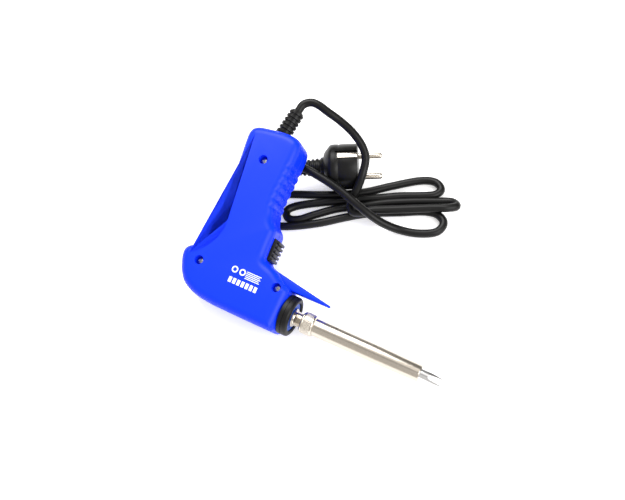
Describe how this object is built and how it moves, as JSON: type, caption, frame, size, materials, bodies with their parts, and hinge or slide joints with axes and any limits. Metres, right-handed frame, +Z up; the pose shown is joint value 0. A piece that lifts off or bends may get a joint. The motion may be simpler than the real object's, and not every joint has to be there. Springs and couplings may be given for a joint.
{
  "type": "pistol-grip soldering iron",
  "caption": "Corded mains soldering iron with a pistol grip, a sprung boost trigger, a screw-on sleeve holding a chisel tip, and a coiled lead with a round plug.",
  "frame": {"origin": "centre of the bounding box of the gun on the surface that it lies on, the free lead and its plug left out", "axes": "+X forwards along the barrel towards the tip, +Y towards the end of the handle, +Z up from the surface"},
  "size_m": [0.2134, 0.1771, 0.0657],
  "materials": {
    "blue_shell": "glossy moulded ABS with a fine grain",
    "blue_insert": "moulded heat-resistant resin",
    "black_resin": "moulded",
    "nickel": "bright nickel plate",
    "nickel_sleeve": "drawn tube, satin nickel",
    "tip_plating": "bright plated",
    "steel": "zinc plated",
    "ceramic": null,
    "brass": "plain",
    "white_resin": "moulded",
    "black_pvc": "soft PVC, slight sheen",
    "red_wire": "insulated wire",
    "green_wire": "insulated wire",
    "brown_wire": "insulated wire"
  },
  "bodies": {
    "gun": {"left_housing": "blue_shell", "right_housing": "blue_shell", "housing_screws": "steel", "front_collar": "black_resin", "front_insert": "blue_insert", "nipple": "nickel", "lock_nut": "nickel", "heater_core": "ceramic", "heater_insulator": "ceramic", "heater_leads": "red_wire", "earth_lead": "green_wire", "trigger_spring": "steel", "switch_body": "black_resin", "switch_terminals": "brass", "boost_diode": "black_resin", "connector_block": "white_resin", "connector_screws": "brass", "cord_clamp": "white_resin", "clamp_screws": "steel", "cord_cores": "brown_wire", "cord_sheath_end": "black_pvc", "strain_relief": "black_pvc", "cord": "black_pvc", "plug_body": "black_pvc", "plug_pins": "nickel", "plug_earth_clips": "nickel"},
    "trigger": {"trigger": "black_resin", "switch_plunger": "white_resin"},
    "tip": {"tip": "tip_plating"},
    "barrel": {"sleeve": "nickel_sleeve", "sleeve_nut": "nickel"}
  },
  "joints": [
    {"name": "trigger_pull", "type": "slide", "parent": "gun", "child": "trigger", "axis": [-1, 0, 0], "range_m": [0, 0.004], "stiffness_N_per_m": 700, "springref_m": -0.004, "deforming": ["trigger_spring"]},
    {"name": "tip_advance", "type": "slide", "parent": "gun", "child": "tip", "axis": [1, 0, 0], "range_m": [0, 0.004]},
    {"name": "nut_turn", "type": "hinge", "parent": "tip", "child": "barrel", "pos_m": [0.00265, -0.06145, 0.01811], "axis": [1, 0, 0], "range_deg": [0, 1441]}
  ],
  "couplings": [
    {"joint": "nut_turn", "follows": "tip_advance", "rad_per_m": 6283.2}
  ]
}
